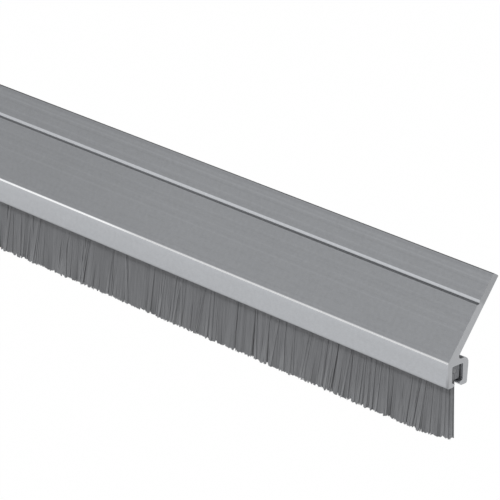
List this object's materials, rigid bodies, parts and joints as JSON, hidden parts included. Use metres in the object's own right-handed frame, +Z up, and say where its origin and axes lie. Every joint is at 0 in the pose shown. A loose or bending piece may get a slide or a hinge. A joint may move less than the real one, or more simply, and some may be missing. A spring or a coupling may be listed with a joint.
{
  "type": "door brush seal",
  "caption": "Angled door brush seal: a sloping aluminium fixing plate with a drill groove above a channel that holds a hanging bristle strip.",
  "frame": {"origin": "on the back face of the sloping plate, at the middle of the seal's length, behind the drill groove", "axes": "+X along the seal, -Y the side that the upright front wall faces, +Z up, the bristles point to -Z"},
  "size_m": [0.914, 0.0208, 0.0514],
  "materials": {
    "carrier_aluminium": "satin mill finish with fine lengthwise lines",
    "spine_steel": "galvanised strip, dull",
    "wire_steel": "drawn wire, dull",
    "bristle_filament": "fine dark grey filaments, slight sheen"
  },
  "bodies": {
    "root": {"carrier": "carrier_aluminium", "spine_channel": "spine_steel", "core_wire": "wire_steel", "bristles": "bristle_filament"}
  },
  "joints": []
}
